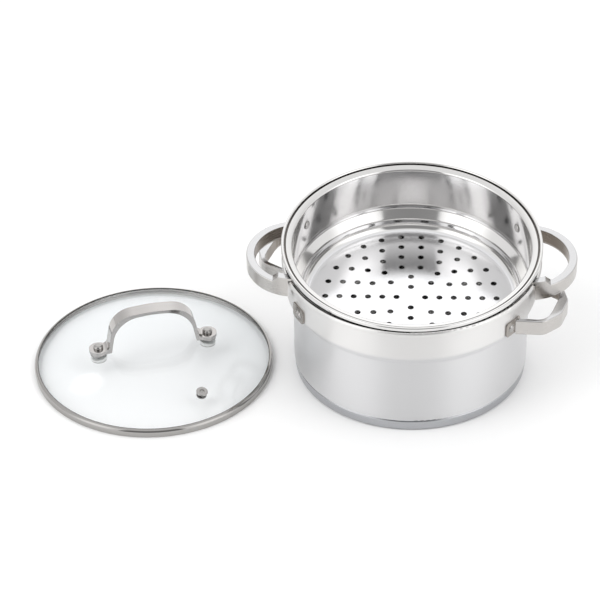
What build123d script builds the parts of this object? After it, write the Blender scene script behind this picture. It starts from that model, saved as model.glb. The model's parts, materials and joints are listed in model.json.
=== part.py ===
from build123d import *
import math
import os

# Steamer pot: a two-handled pot, a perforated steamer insert that stands tilted in it, and a glass lid
# that lies beside them. Millimetres and degrees, +Z up. The origin is on the pot's axis at floor level,
# +X is to the right and +Y points away from the front.

# Pot body
pot_radius = 118.0
pot_wall = 0.8
pot_floor_height = 12.0
pot_floor_rounding = 2.0
band_radius = 125.5
shoulder_bottom_height = 85.0
shoulder_top_height = 93.5
shoulder_rounding = 7.0
pot_height = 128.4
pot_bead_radius = 129.2
pot_bead_depth = 5.0
pot_bead_outer_rounding = 2.2
pot_bead_inner_rounding = 1.4
pot_bead_lower_rounding = 1.6

# Pot base
cap_radius = 116.8
cap_wall = 0.8
cap_rounding = 3.0
cap_gap = 0.4
core_clearance = 0.1

# Insert body, measured down from the top of its rim
insert_wall_radius = 119.3
insert_wall = 0.8
insert_rim_radius = 129.7
insert_rim_depth = 4.6
insert_rim_width = 3.2
insert_rim_rounding = 1.4
groove_depth = 3.2
groove_width = 1.6
seat_high_depth = 1.8
seat_low_depth = 3.6
seat_rounding = 2.4
fine_rounding = 0.4
rib_depth = 48.5
rib_half_height = 1.0
rib_bulge = 0.5
ledge_top_depth = 54.0
ledge_bottom_depth = 62.0
ledge_rounding = 3.0
basket_radius = 111.5
basket_rounding = 10.0
insert_depth = 75.0

# Steam holes in the floor of the insert: rings a little longer from front to back than across
steam_hole_radius = 3.1
steam_ring_pitch_across = 14.4
steam_ring_pitch_deep = 15.8
steam_pattern_back_shift = 1.5
steam_ring_count = 6
first_split_ring = 3

# Where the insert stands
insert_tilt_angle = 4.9
insert_turn_angle = -1.3
insert_back_shift = 1.0
insert_rim_height = 144.8

# What the handles of pot and insert share
handle_height = 16.5
handle_edge_rounding = 1.2
handle_bevel_height = 3.5
handle_bevel_angle = 25.0
plate_thickness = 1.5
plate_height = 16.0
plate_corner_rounding = 3.0
part_clearance = 0.05
rivet_radius = 2.2
rivet_clearance = 0.1
rivet_head_radius = 4.2
rivet_head_height = 1.9
rivet_inner_head_radius = 4.4
rivet_inner_head_height = 1.2
rivet_inner_head_bevel = 0.6
cut_overrun = 2.0

# Pot handles
pot_handle_turn_angle = -20.0
pot_handle_top_height = 106.0
pot_handle_reach = 159.5
pot_handle_tip_half_width = 12.0
pot_handle_root_half_width = 45.5
pot_handle_leg_half_width = 31.5
pot_handle_root_distance = 100.0
pot_handle_leg_reach = 148.0
pot_handle_tip_thickness = 9.8
pot_handle_leg_thickness = 4.2
pot_handle_leg_rounding = 14.0
pot_handle_outer_rounding = 14.0
pot_handle_inner_rounding = 8.0
pot_rivet_angle = 20.7
pot_rivet_height = 100.5
pot_plate_inner_angle = 14.5
pot_plate_outer_angle = 24.2

# Single plate riveted to the pot's band at the front left, with no loop on it
front_rivet_angle = 208.7
front_plate_start_angle = 202.5
front_plate_end_angle = 212.2

# Insert handles
insert_handle_top_depth = 16.0
insert_loop_radius = 49.0
insert_loop_reach = 164.5
insert_opening_radius = 42.5
insert_opening_reach = 156.2
insert_rivet_angle = 26.3
insert_plate_inner_angle = 19.0
insert_plate_outer_angle = 30.0
hook_top_depth = 9.0
hook_top_reach = 130.8
hook_foot_reach = 136.5
rim_clearance = 0.4

# Lid
lid_offset_x = -260.8
lid_offset_y = -7.0
lid_turn_angle = 14.0
lid_radius = 121.0
lid_rim_height = 8.6
lid_rim_wall = 0.6
lid_rim_flange = 4.0
lid_rim_hem_width = 2.8
lid_rim_hem_height = 2.2
lid_rim_rounding = 1.1
lid_rim_hem_rounding = 0.9
glass_thickness = 4.0
glass_edge_height = 6.7
glass_top_height = 27.5
glass_edge_clearance = 0.3
glass_edge_rounding = 1.2

# Lid handle, its fasteners and seats
lid_handle_span = 112.0
lid_handle_width = 15.0
lid_handle_thickness = 3.6
lid_handle_rise = 41.0
lid_handle_crown = 3.0
lid_handle_shoulder_half_span = 40.0
lid_handle_foot_half_span = 46.5
lid_handle_crown_radius = 120.0
lid_handle_bend_radius = 26.0
lid_handle_foot_bend_radius = 5.0
lid_pad_radius = 9.5
lid_pad_lift = 2.3
lid_seat_radius = 8.4
nut_radius = 5.0
nut_height = 4.0
nut_straight_height = 1.4
nut_bore_depth = 2.4
screw_radius = 2.4
screw_head_radius = 4.6
screw_head_height = 2.2
screw_head_rounding = 0.6
screw_clearance = 0.2
glass_hole_radius = 3.4
lower_washer_radius = 8.0
lower_washer_thickness = 1.0
lower_pad_thickness = 2.8

# Steam vent in the lid
vent_distance = 87.0
vent_turn_angle = -67.0
vent_hole_radius = 3.2
vent_tube_radius = 3.0
vent_tube_wall = 0.6
vent_flange_radius = 5.8
vent_flange_thickness = 1.3
vent_flange_rounding = 0.6
vent_collar_radius = 5.2
vent_collar_thickness = 1.0
vent_foot_radius = 3.8
vent_foot_thickness = 0.5

# Sizes that follow from those above
cap_height = pot_floor_height - cap_gap
pot_bead_bottom = pot_height - pot_bead_depth
band_inner_radius = band_radius - pot_wall
insert_inner_radius = insert_wall_radius - insert_wall
seat_outer_radius = insert_rim_radius - insert_rim_width - groove_width
pot_plate_radius = band_radius + part_clearance
insert_plate_radius = insert_wall_radius + part_clearance
pot_plate_bottom = pot_rivet_height - plate_height / 2
insert_plate_bottom = -insert_handle_top_depth - (handle_height + plate_height) / 2
glass_radius = lid_radius - lid_rim_wall - glass_edge_clearance
dome_rise = glass_top_height - glass_edge_height
dome_radius = (glass_radius ** 2 + dome_rise ** 2) / (2 * dome_rise)
dome_center_height = glass_top_height - dome_radius
under_dome_radius = dome_radius - glass_thickness
handle_foot = lid_handle_span / 2
pad_bottom = dome_center_height + math.sqrt(dome_radius ** 2 - handle_foot ** 2) + lid_pad_lift
pad_top = pad_bottom + lid_handle_thickness
under_glass = dome_center_height + math.sqrt(under_dome_radius ** 2 - handle_foot ** 2)
lower_pad_bottom = under_glass - lower_pad_thickness
washer_bottom = lower_pad_bottom - lower_washer_thickness

insert_place = (
    Pos(0, insert_back_shift, insert_rim_height)
    * Rot(insert_tilt_angle, 0, 0)
    * Rot(0, 0, insert_turn_angle)
)
lid_place = Pos(lid_offset_x, lid_offset_y, 0) * Rot(0, 0, lid_turn_angle)
sides = {"right": 0, "left": 180}


def rounded_face(corners):
    """A flat face through (x, y, rounding) corners, each corner rounded by its own radius."""
    face = make_face(Polyline(*[(x, y) for x, y, _ in corners], close=True)).face()
    for x, y, rounding in corners:
        if rounding > 0:
            corner = face.vertices().sort_by_distance((x, y, 0))[0]
            face = face.fillet_2d(rounding, [corner])
    return face


def shifted_corners(corners, wall):
    """The corners of a sheet's other side, moved by the wall to the left of the way they run."""
    shifted = []
    last = len(corners) - 1
    for index, (x, y, rounding) in enumerate(corners):
        near = corners[index - 1] if index > 0 else None
        far = corners[index + 1] if index < last else None
        arrival = math.atan2(y - near[1], x - near[0]) if near else math.atan2(far[1] - y, far[0] - x)
        leave = math.atan2(far[1] - y, far[0] - x) if far else arrival
        half_turn = math.remainder(leave - arrival, math.tau) / 2
        reach = wall / math.cos(half_turn)
        side = arrival + half_turn + math.pi / 2
        other_rounding = rounding - math.copysign(wall, half_turn) if rounding > 0 else 0
        shifted.append((x + reach * math.cos(side), y + reach * math.sin(side), max(other_rounding, 0)))
    return shifted


def spun(corners):
    """A solid of revolution about Z from corners given as (radius, height, rounding)."""
    return revolve(Plane.XZ * rounded_face(corners), Axis.Z)


def cylinder_between(radius, bottom, top):
    """A solid cylinder about Z between two heights."""
    return Pos(0, 0, bottom) * Cylinder(radius, top - bottom, align=(Align.CENTER, Align.CENTER, Align.MIN))


def tube_between(inner_radius, outer_radius, bottom, top):
    """A tube about Z between two heights."""
    bore = cylinder_between(inner_radius, bottom - cut_overrun, top + cut_overrun)
    return cylinder_between(outer_radius, bottom, top) - bore


def radial(angle, distance, height):
    """A place on a round wall whose own Z axis points straight out from the wall."""
    return Rot(0, 0, angle) * Pos(distance, 0, height) * Rot(0, 90, 0)


def export_node(shape, name):
    """Write one piece, or one group of like pieces, under its own name."""
    export_step(shape, os.path.join("parts", name + ".step"))


def drilled(shape, angles, height, reach):
    """A wall or its plates with the rivet holes of a handle drilled through."""
    for angle in angles:
        shape -= radial(angle, 0, height) * cylinder_between(rivet_radius + rivet_clearance, 0, reach)
    return shape


def rivet(grip):
    """A rivet along Z: its domed head stands on zero and its flat head lies the grip below."""
    sphere_radius = (rivet_head_radius ** 2 + rivet_head_height ** 2) / (2 * rivet_head_height)
    dome = Pos(0, 0, rivet_head_height - sphere_radius) * Sphere(sphere_radius)
    head = dome & cylinder_between(rivet_head_radius, 0, rivet_head_height)
    shank = cylinder_between(rivet_radius, -grip, 0)
    inner_head = cylinder_between(rivet_inner_head_radius, -grip - rivet_inner_head_height, -grip)
    inner_head = chamfer(inner_head.edges().group_by(Axis.Z)[0], rivet_inner_head_bevel)
    return head + shank + inner_head


def rivets_at(angles, height, seat_radius, inner_radius):
    """The rivets at some angles, each head seated on its plate and each inner head inside the wall."""
    inside = math.sqrt(inner_radius ** 2 - rivet_inner_head_radius ** 2) - part_clearance
    grip = seat_radius + part_clearance - inside
    return Compound([radial(angle, seat_radius + part_clearance, height) * rivet(grip) for angle in angles])


def wall_plate(inner_radius, start_angle, end_angle, bottom):
    """One plate curved to lie against a round wall."""
    outer_radius = inner_radius + plate_thickness
    ring = tube_between(inner_radius, outer_radius, bottom, bottom + plate_height)
    width = outer_radius * math.radians(end_angle - start_angle)
    blank = extrude(RectangleRounded(plate_height, width, plate_corner_rounding), outer_radius + cut_overrun)
    return ring & radial((start_angle + end_angle) / 2, 0, bottom + plate_height / 2) * blank


def wall_plates(inner_radius, start_angle, end_angle, turn_angle, bottom):
    """The two plates that carry one handle, one at each foot of its loop."""
    return [
        wall_plate(inner_radius, turn_angle + start_angle, turn_angle + end_angle, bottom),
        wall_plate(inner_radius, turn_angle - end_angle, turn_angle - start_angle, bottom),
    ]


def loop_solid(outline, opening, top):
    """A handle loop of even height whose opening widens towards the bottom."""
    bottom = top - handle_height
    body = Pos(0, 0, bottom) * extrude(outline, handle_height)
    body = fillet(body.edges().group_by(Axis.Z)[0] + body.edges().group_by(Axis.Z)[-1], handle_edge_rounding)
    straight = Pos(0, 0, bottom - cut_overrun) * extrude(opening, handle_height + 2 * cut_overrun)
    bevel_top = Pos(0, 0, bottom + handle_bevel_height) * opening
    flared = extrude(bevel_top, handle_bevel_height, dir=(0, 0, -1), taper=-handle_bevel_angle)
    loop = body - straight - flared
    inner_top = [
        edge for edge in loop.edges().group_by(Axis.Z)[-1]
        if opening.face().distance_to(Pos(0, 0, -top) * Vertex(edge.position_at(1 / 2))) < part_clearance
    ]
    return fillet(inner_top, handle_edge_rounding / 2)


def make_pot_body():
    """Drawn pot: flat floor, straight wall, widened band and a rolled rim."""
    outer = [
        (0, pot_floor_height, 0),
        (pot_radius, pot_floor_height, pot_floor_rounding),
        (pot_radius, shoulder_bottom_height, shoulder_rounding),
        (band_radius, shoulder_top_height, shoulder_rounding),
        (band_radius, pot_bead_bottom, 0),
    ]
    bead = [
        (pot_bead_radius, pot_bead_bottom, pot_bead_lower_rounding),
        (pot_bead_radius, pot_height, pot_bead_outer_rounding),
        (band_inner_radius, pot_height, pot_bead_inner_rounding),
    ]
    inner = shifted_corners(outer, pot_wall)[:-1]
    body = spun(outer + bead + inner[::-1])
    for side_angle in sides.values():
        angles = handle_rivet_angles(side_angle + pot_handle_turn_angle, pot_rivet_angle)
        body = drilled(body, angles, pot_rivet_height, pot_bead_radius)
    return drilled(body, [front_rivet_angle], pot_rivet_height, pot_bead_radius)


def handle_rivet_angles(center_angle, half_angle):
    """The two angles at which one handle is riveted."""
    return [center_angle + half_angle, center_angle - half_angle]


def make_base():
    """Aluminium core and the steel cap that is pressed round it."""
    cap_outer = [
        (0, 0, 0),
        (cap_radius, 0, cap_rounding),
        (cap_radius, cap_height, 0),
    ]
    cap_inner = shifted_corners(cap_outer, cap_wall)
    cap = spun(cap_outer + cap_inner[::-1])
    core_radius = cap_radius - cap_wall - core_clearance
    core = spun([
        (0, cap_wall, 0),
        (core_radius, cap_wall, cap_rounding - cap_wall),
        (core_radius, pot_floor_height, 0),
        (0, pot_floor_height, 0),
    ])
    return cap, core


def make_pot_handle(side_angle):
    """One handle loop of the pot with its two plates and two rivets."""
    root = pot_handle_root_distance
    inner_reach = pot_handle_reach - pot_handle_tip_thickness
    outer_half = [
        (root, -pot_handle_root_half_width, 0),
        (pot_handle_leg_reach, -pot_handle_leg_half_width, pot_handle_leg_rounding),
        (pot_handle_reach, -pot_handle_tip_half_width, pot_handle_outer_rounding),
    ]
    inner_half = [
        (root - cut_overrun, pot_handle_leg_thickness - pot_handle_root_half_width, 0),
        (pot_handle_leg_reach, pot_handle_leg_thickness - pot_handle_leg_half_width, pot_handle_leg_rounding),
        (inner_reach, -pot_handle_tip_half_width, pot_handle_inner_rounding),
    ]
    outline = rounded_face(outer_half + [(x, -y, rounding) for x, y, rounding in outer_half[::-1]])
    opening = rounded_face(inner_half + [(x, -y, rounding) for x, y, rounding in inner_half[::-1]])
    plate_outer = pot_plate_radius + plate_thickness + part_clearance
    wall_space = cylinder_between(plate_outer, 0, pot_height)
    loop = loop_solid(outline, opening, pot_handle_top_height) - wall_space
    turn_angle = side_angle + pot_handle_turn_angle
    angles = handle_rivet_angles(turn_angle, pot_rivet_angle)
    plates = wall_plates(pot_plate_radius, pot_plate_inner_angle, pot_plate_outer_angle, turn_angle,
                         pot_plate_bottom)
    plates = [drilled(plate, angles, pot_rivet_height, plate_outer + cut_overrun) for plate in plates]
    rivets = rivets_at(angles, pot_rivet_height, pot_plate_radius + plate_thickness, band_inner_radius)
    return Rot(0, 0, turn_angle) * loop, Compound(plates), rivets


def make_front_plate():
    """The single plate at the front left of the band, with its rivet."""
    plate = wall_plate(pot_plate_radius, front_plate_start_angle, front_plate_end_angle, pot_plate_bottom)
    plate = drilled(plate, [front_rivet_angle], pot_rivet_height, pot_plate_radius + cut_overrun)
    front_rivet = rivets_at([front_rivet_angle], pot_rivet_height, pot_plate_radius + plate_thickness,
                            band_inner_radius)
    return plate, front_rivet


def steam_hole_centers():
    """Centres of the steam holes; the outer rings hold one more hole in their back half."""
    centers = []
    for ring in range(1, steam_ring_count + 1):
        half_count = 2 * ring
        back_count = half_count + 1 if ring >= first_split_ring else half_count
        angles = [math.pi * index / back_count for index in range(back_count + 1)]
        angles += [-math.pi * index / half_count for index in range(1, half_count)]
        for angle in angles:
            across = ring * steam_ring_pitch_across * math.cos(angle)
            deep = ring * steam_ring_pitch_deep * math.sin(angle) + steam_pattern_back_shift
            centers.append((across, deep))
    return centers


def make_insert_body():
    """Drawn insert: lid seat, straight wall with a fine rib, ledge, and a floor full of steam holes."""
    outer = [
        (0, -insert_depth, 0),
        (basket_radius, -insert_depth, basket_rounding),
        (basket_radius, -ledge_bottom_depth, ledge_rounding),
        (insert_wall_radius, -ledge_top_depth, ledge_rounding),
        (insert_wall_radius, -rib_depth - rib_half_height, fine_rounding),
        (insert_wall_radius - rib_bulge, -rib_depth, fine_rounding),
        (insert_wall_radius, -rib_depth + rib_half_height, fine_rounding),
        (insert_wall_radius, -seat_low_depth - insert_wall, seat_rounding),
    ]
    inner = shifted_corners(outer[:-1], insert_wall)
    groove_outer = insert_rim_radius - insert_rim_width
    rim = [
        (seat_outer_radius, -insert_rim_depth, 0),
        (insert_rim_radius, -insert_rim_depth, insert_rim_rounding),
        (insert_rim_radius, 0, insert_rim_rounding),
        (groove_outer, 0, insert_rim_rounding),
        (groove_outer, -groove_depth, fine_rounding),
        (seat_outer_radius, -groove_depth, fine_rounding),
        (seat_outer_radius, -seat_high_depth, fine_rounding),
        (insert_inner_radius, -seat_low_depth, seat_rounding),
    ]
    body = spun(outer + rim + inner[::-1])
    floor_hole = cylinder_between(steam_hole_radius, -insert_depth - cut_overrun, -insert_depth + cut_overrun)
    holes = [Pos(x, y, 0) * floor_hole for x, y in steam_hole_centers()]
    body -= holes
    for side_angle in sides.values():
        angles = handle_rivet_angles(side_angle, insert_rivet_angle)
        body = drilled(body, angles, -insert_handle_top_depth - handle_height / 2, insert_rim_radius)
    return body


def make_insert_handle(side_angle):
    """One handle loop of the insert, its front leg hooked over the pot's rim, with its plates and rivets."""
    outline_center = insert_loop_reach - insert_loop_radius
    opening_center = insert_opening_reach - insert_opening_radius
    root = outline_center - insert_loop_radius / 2
    outline = Pos(outline_center, 0) * Circle(insert_loop_radius)
    outline += Pos((root + outline_center) / 2, 0) * Rectangle(outline_center - root, 2 * insert_loop_radius)
    opening = Pos(opening_center, 0) * Circle(insert_opening_radius)
    opening_root = root - cut_overrun
    opening += (Pos((opening_root + opening_center) / 2, 0)
                * Rectangle(opening_center - opening_root, 2 * insert_opening_radius))
    loop = loop_solid(outline.face(), opening.face(), -insert_handle_top_depth)
    hook_top = -hook_top_depth
    front_reach = math.copysign(insert_loop_radius + cut_overrun, math.cos(math.radians(side_angle)))
    hook_profile = rounded_face([
        (root, -insert_handle_top_depth - handle_height / 2, 0),
        (hook_foot_reach, -insert_handle_top_depth - handle_height / 2, 0),
        (hook_foot_reach, -insert_handle_top_depth, 0),
        (hook_top_reach, hook_top, handle_edge_rounding),
        (root, hook_top, 0),
    ])
    hook_bar = extrude(Plane.XZ * hook_profile, front_reach)
    leg_shape = Pos(0, 0, -insert_handle_top_depth - handle_height) * extrude(
        outline.face() - opening.face(), handle_height - hook_top)
    loop += hook_bar & leg_shape
    plate_outer = insert_plate_radius + plate_thickness + part_clearance
    loop -= cylinder_between(plate_outer, -insert_depth, 0)
    angles = handle_rivet_angles(side_angle, insert_rivet_angle)
    height = -insert_handle_top_depth - handle_height / 2
    plates = wall_plates(insert_plate_radius, insert_plate_inner_angle, insert_plate_outer_angle, side_angle,
                         insert_plate_bottom)
    plates = [drilled(plate, angles, height, plate_outer + cut_overrun) for plate in plates]
    rivets = rivets_at(angles, height, insert_plate_radius + plate_thickness, insert_inner_radius)
    rim_space = tube_between(band_inner_radius - rim_clearance, pot_bead_radius + rim_clearance, 0,
                             pot_height + rim_clearance)
    handle = insert_place * Rot(0, 0, side_angle) * loop - rim_space
    return handle, insert_place * Compound(plates), insert_place * rivets


def make_lid_glass():
    """Glass dome of even thickness with two screw holes and a vent hole."""
    def dome_point(radius, distance):
        return (distance, dome_center_height + math.sqrt(radius ** 2 - distance ** 2))

    half = glass_radius / 2
    edge_top = dome_point(dome_radius, glass_radius)
    edge_bottom = dome_point(under_dome_radius, glass_radius)
    top_arc = ThreePointArc(dome_point(dome_radius, 0), dome_point(dome_radius, half), edge_top)
    under_arc = ThreePointArc(edge_bottom, dome_point(under_dome_radius, half), dome_point(under_dome_radius, 0))
    outline = [top_arc, Line(edge_top, edge_bottom), under_arc, Line(under_arc @ 1, top_arc @ 0)]
    face = make_face(outline).face()
    for corner_point in (edge_top, edge_bottom):
        corner = face.vertices().sort_by_distance((*corner_point, 0))[0]
        face = face.fillet_2d(glass_edge_rounding, [corner])
    glass = revolve(Plane.XZ * face, Axis.Z)
    for foot in (handle_foot, -handle_foot):
        glass -= Pos(foot, 0, 0) * cylinder_between(glass_hole_radius, 0, glass_top_height)
    return glass - vent_place() * cylinder_between(vent_hole_radius, -2 * glass_thickness, glass_thickness)


def make_lid_rim():
    """Steel band rolled round the edge of the glass: flange above, rounded hem below."""
    flange_inner = lid_radius - lid_rim_flange
    hem_inner = lid_radius - lid_rim_hem_width
    wall_inner = lid_radius - lid_rim_wall
    return spun([
        (flange_inner, lid_rim_height - lid_rim_wall, 0),
        (wall_inner, lid_rim_height - lid_rim_wall, lid_rim_rounding - lid_rim_wall),
        (wall_inner, lid_rim_hem_height, 0),
        (hem_inner, lid_rim_hem_height, lid_rim_hem_rounding),
        (hem_inner, 0, lid_rim_hem_rounding),
        (lid_radius, 0, lid_rim_hem_rounding),
        (lid_radius, lid_rim_height, lid_rim_rounding),
        (flange_inner, lid_rim_height, 0),
    ])


def make_lid_handle():
    """Bent steel strap: a crowned bridge, two legs and two round pads."""
    pad_end = handle_foot + lid_pad_radius
    bridge = pad_top + lid_handle_rise
    left_half = [
        (-pad_end, pad_top, 0),
        (-lid_handle_foot_half_span, pad_top, lid_handle_foot_bend_radius),
        (-lid_handle_shoulder_half_span, bridge - lid_handle_crown, lid_handle_bend_radius),
    ]
    right_half = [(-x, y, rounding) for x, y, rounding in left_half[::-1]]
    upper = left_half + [(0, bridge, lid_handle_crown_radius)] + right_half
    lower = shifted_corners(upper, -lid_handle_thickness)
    profile = Plane.XZ * rounded_face(upper + lower[::-1])
    bent = extrude(profile, lid_pad_radius, both=True)
    plan = Rectangle(lid_handle_span, lid_handle_width)
    for foot in (handle_foot, -handle_foot):
        plan += Pos(foot, 0) * Circle(lid_pad_radius)
    handle = bent & extrude(plan, bridge)
    for foot in (handle_foot, -handle_foot):
        handle -= Pos(foot, 0, 0) * cylinder_between(screw_radius + screw_clearance, 0, pad_top + cut_overrun)
    return handle


def make_lid_fasteners():
    """Seats, nuts, screws, washers and pads of the lid handle, each as a pair."""
    bore = screw_radius + screw_clearance
    seat = tube_between(bore, lid_seat_radius, under_glass, pad_bottom)
    seat_cut = Pos(0, 0, dome_center_height) * Sphere(dome_radius + part_clearance)
    nut = cylinder_between(nut_radius, 0, nut_height)
    nut = fillet(nut.edges().group_by(Axis.Z)[-1], nut_height - nut_straight_height)
    nut -= cylinder_between(bore, 0, nut_bore_depth)
    pad = tube_between(bore, lower_washer_radius, lower_pad_bottom, under_glass + glass_thickness)
    pad_keep = Pos(0, 0, dome_center_height) * Sphere(under_dome_radius - part_clearance)
    washer = tube_between(bore, lower_washer_radius, washer_bottom, lower_pad_bottom)
    head = cylinder_between(screw_head_radius, washer_bottom - screw_head_height, washer_bottom)
    head = fillet(head.edges().group_by(Axis.Z)[0], screw_head_rounding)
    screw = head + cylinder_between(screw_radius, washer_bottom, pad_top + nut_bore_depth - part_clearance)
    groups = {name: [] for name in ("seats", "nuts", "screws", "washers", "cushions")}
    for foot in (handle_foot, -handle_foot):
        place = Pos(foot, 0, 0)
        groups["seats"].append(place * seat - seat_cut)
        groups["nuts"].append(place * Pos(0, 0, pad_top) * nut)
        groups["screws"].append(place * screw)
        groups["washers"].append(place * washer)
        groups["cushions"].append(place * pad & pad_keep)
    return groups


def vent_place():
    """The vent's place on the dome: zero on the outer face, its own Z square to the glass."""
    lean_angle = math.degrees(math.asin(vent_distance / dome_radius))
    return (Rot(0, 0, vent_turn_angle) * Pos(0, 0, dome_center_height) * Rot(0, lean_angle, 0)
            * Pos(0, 0, dome_radius))


def make_vent():
    """Hollow eyelet through the glass and the collar under it."""
    foot_top = -glass_thickness - vent_collar_thickness - 3 * part_clearance
    foot_bottom = foot_top - vent_foot_thickness
    flange = cylinder_between(vent_flange_radius, part_clearance, vent_flange_thickness)
    flange = fillet(flange.edges().group_by(Axis.Z)[-1], vent_flange_rounding)
    tube = cylinder_between(vent_tube_radius, foot_bottom, part_clearance)
    foot = cylinder_between(vent_foot_radius, foot_bottom, foot_top)
    bore = cylinder_between(vent_tube_radius - vent_tube_wall, foot_bottom - cut_overrun, cut_overrun)
    eyelet = flange + tube + foot - bore
    collar_top = -glass_thickness - 2 * part_clearance
    collar = tube_between(vent_hole_radius, vent_collar_radius, collar_top - vent_collar_thickness, collar_top)
    return vent_place() * eyelet, vent_place() * collar


os.makedirs("parts", exist_ok=True)

base_cap, base_core = make_base()
export_node(make_pot_body(), "pot_body")
export_node(base_core, "base_core")
export_node(base_cap, "base_cap")
export_node(insert_place * make_insert_body(), "insert_body")
front_plate, front_rivet = make_front_plate()
export_node(front_plate, "pot_front_plate")
export_node(front_rivet, "pot_front_rivet")
for side_name, angle in sides.items():
    handle, plates, rivets = make_pot_handle(angle)
    export_node(handle, "pot_handle_" + side_name)
    export_node(plates, "pot_plates_" + side_name)
    export_node(rivets, "pot_rivets_" + side_name)
    handle, plates, rivets = make_insert_handle(angle)
    export_node(handle, "insert_handle_" + side_name)
    export_node(plates, "insert_plates_" + side_name)
    export_node(rivets, "insert_rivets_" + side_name)

fasteners = make_lid_fasteners()
export_node(lid_place * make_lid_glass(), "lid_glass")
export_node(lid_place * make_lid_rim(), "lid_rim")
export_node(lid_place * make_lid_handle(), "lid_handle")
for group_name, solids in fasteners.items():
    export_node(lid_place * Compound(solids), "lid_handle_" + group_name)
vent_eyelet, vent_collar = make_vent()
export_node(lid_place * vent_eyelet, "vent_eyelet")
export_node(lid_place * vent_collar, "vent_collar")
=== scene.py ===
"""Steamer pot: a brushed steel pot, a polished perforated insert tilted in it, and a glass lid beside them.

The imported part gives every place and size. This script gives each piece its finish, turns the insert, the
base cap and the lid's rim again with finer edges, and lights them on a pale floor. Sizes are millimetres
unless a comment says otherwise.
"""

from __future__ import annotations

import json
import logging
import math
from collections.abc import Iterable
from dataclasses import dataclass
from enum import Enum

import bmesh
import bpy
from bmesh.types import BMesh
from bpy.types import Material, Node, NodeSocket, NodeTree
from mathutils import Euler, Matrix, Vector

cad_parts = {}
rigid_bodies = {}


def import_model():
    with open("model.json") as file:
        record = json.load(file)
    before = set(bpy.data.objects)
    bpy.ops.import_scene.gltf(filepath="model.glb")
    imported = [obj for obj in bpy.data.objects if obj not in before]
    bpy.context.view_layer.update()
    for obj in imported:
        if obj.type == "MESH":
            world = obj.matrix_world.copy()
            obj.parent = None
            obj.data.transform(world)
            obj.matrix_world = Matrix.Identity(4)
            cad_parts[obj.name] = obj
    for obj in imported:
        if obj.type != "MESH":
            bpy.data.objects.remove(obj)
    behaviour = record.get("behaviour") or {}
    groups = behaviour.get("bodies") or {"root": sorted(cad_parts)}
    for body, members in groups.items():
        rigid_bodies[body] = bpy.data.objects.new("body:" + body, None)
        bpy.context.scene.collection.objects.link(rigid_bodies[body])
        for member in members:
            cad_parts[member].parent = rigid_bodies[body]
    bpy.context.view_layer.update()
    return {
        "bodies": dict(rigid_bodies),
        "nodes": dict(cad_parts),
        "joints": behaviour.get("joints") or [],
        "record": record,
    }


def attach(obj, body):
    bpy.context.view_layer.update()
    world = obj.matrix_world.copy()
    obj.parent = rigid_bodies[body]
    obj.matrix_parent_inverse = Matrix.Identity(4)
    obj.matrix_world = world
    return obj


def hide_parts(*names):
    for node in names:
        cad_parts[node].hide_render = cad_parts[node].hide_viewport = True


log = logging.getLogger("steamer_pot")
MM = 0.001
SMOOTH_ANGLE = math.radians(35)
# The span that a noise texture's values mostly lie in.
NOISE_LOW = 0.3
NOISE_HIGH = 0.7
# Steps round a full turn, and in each rounded corner of a profile.
TURN_STEPS = 192
CORNER_STEPS = 6
FINE_TURN_STEPS = 256
FINE_CORNER_STEPS = 8
HOLE_STEPS = 24
# Vertices and edges closer than this are merged after a turn.
MERGE_DISTANCE = 0.01
SLIVER_LENGTH = 0.001


class Body(Enum):
    """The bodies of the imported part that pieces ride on."""

    POT = "pot"
    INSERT = "insert"
    LID = "lid"


class Side(Enum):
    """The two sides that carry handles."""

    LEFT = "left"
    RIGHT = "right"


def linear_rgb(hex_color: str) -> tuple[float, float, float, float]:
    """Turn an sRGB hex colour into linear values.

    Args:
        hex_color: The colour, written like #C8C7C5.

    Returns:
        Linear red, green and blue, and an alpha of one.
    """
    channels = [int(hex_color[place:place + 2], 16) / 255 for place in (1, 3, 5)]
    red, green, blue = (c / 12.92 if c <= 0.04045 else ((c + 0.055) / 1.055) ** 2.4 for c in channels)
    return red, green, blue, 1.0


def add_node(tree: NodeTree, kind: str, settings: dict | None = None,
             inputs: dict | None = None) -> Node:
    """Add one shader node with its settings and what feeds its inputs.

    Args:
        tree: The node tree that gets the node.
        kind: The node's type name.
        settings: Attributes to set on the node.
        inputs: What its input sockets hold, by name or number: a value, an output socket that is linked to
            it, or a node whose first output is linked.

    Returns:
        The new node.
    """
    node = tree.nodes.new(kind)
    for name, value in (settings or {}).items():
        setattr(node, name, value)
    for name, value in (inputs or {}).items():
        if isinstance(value, Node):
            value = value.outputs[0]
        if isinstance(value, NodeSocket):
            tree.links.new(value, node.inputs[name])
        else:
            node.inputs[name].default_value = value
    return node


def new_material(name: str) -> Material:
    """Make an empty node material.

    Args:
        name: Its name.

    Returns:
        The material, with no nodes.
    """
    material = bpy.data.materials.new(name)
    material.use_nodes = True
    material.node_tree.nodes.clear()
    return material


def coat(material: Material, inputs: dict) -> Material:
    """Give a material its principled shader.

    Args:
        material: The material.
        inputs: What feeds the shader.

    Returns:
        The same material.
    """
    shader = add_node(material.node_tree, "ShaderNodeBsdfPrincipled", inputs=inputs)
    add_node(material.node_tree, "ShaderNodeOutputMaterial", inputs={"Surface": shader})
    return material


def level_way(tree: NodeTree, place: Node | NodeSocket,
              center: Iterable[float] = (0.0, 0.0, 0.0)) -> Node:
    """Add the level way from an upright axis to each place.

    Args:
        tree: The node tree.
        place: The place.
        center: A point on the axis, in millimetres.

    Returns:
        The way, in metres.
    """
    away = add_node(tree, "ShaderNodeVectorMath", {"operation": "SUBTRACT"},
                    {0: place, 1: Vector(center) * MM})
    return add_node(tree, "ShaderNodeVectorMath", {"operation": "MULTIPLY"},
                    {0: away, 1: (1, 1, 0)})


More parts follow.
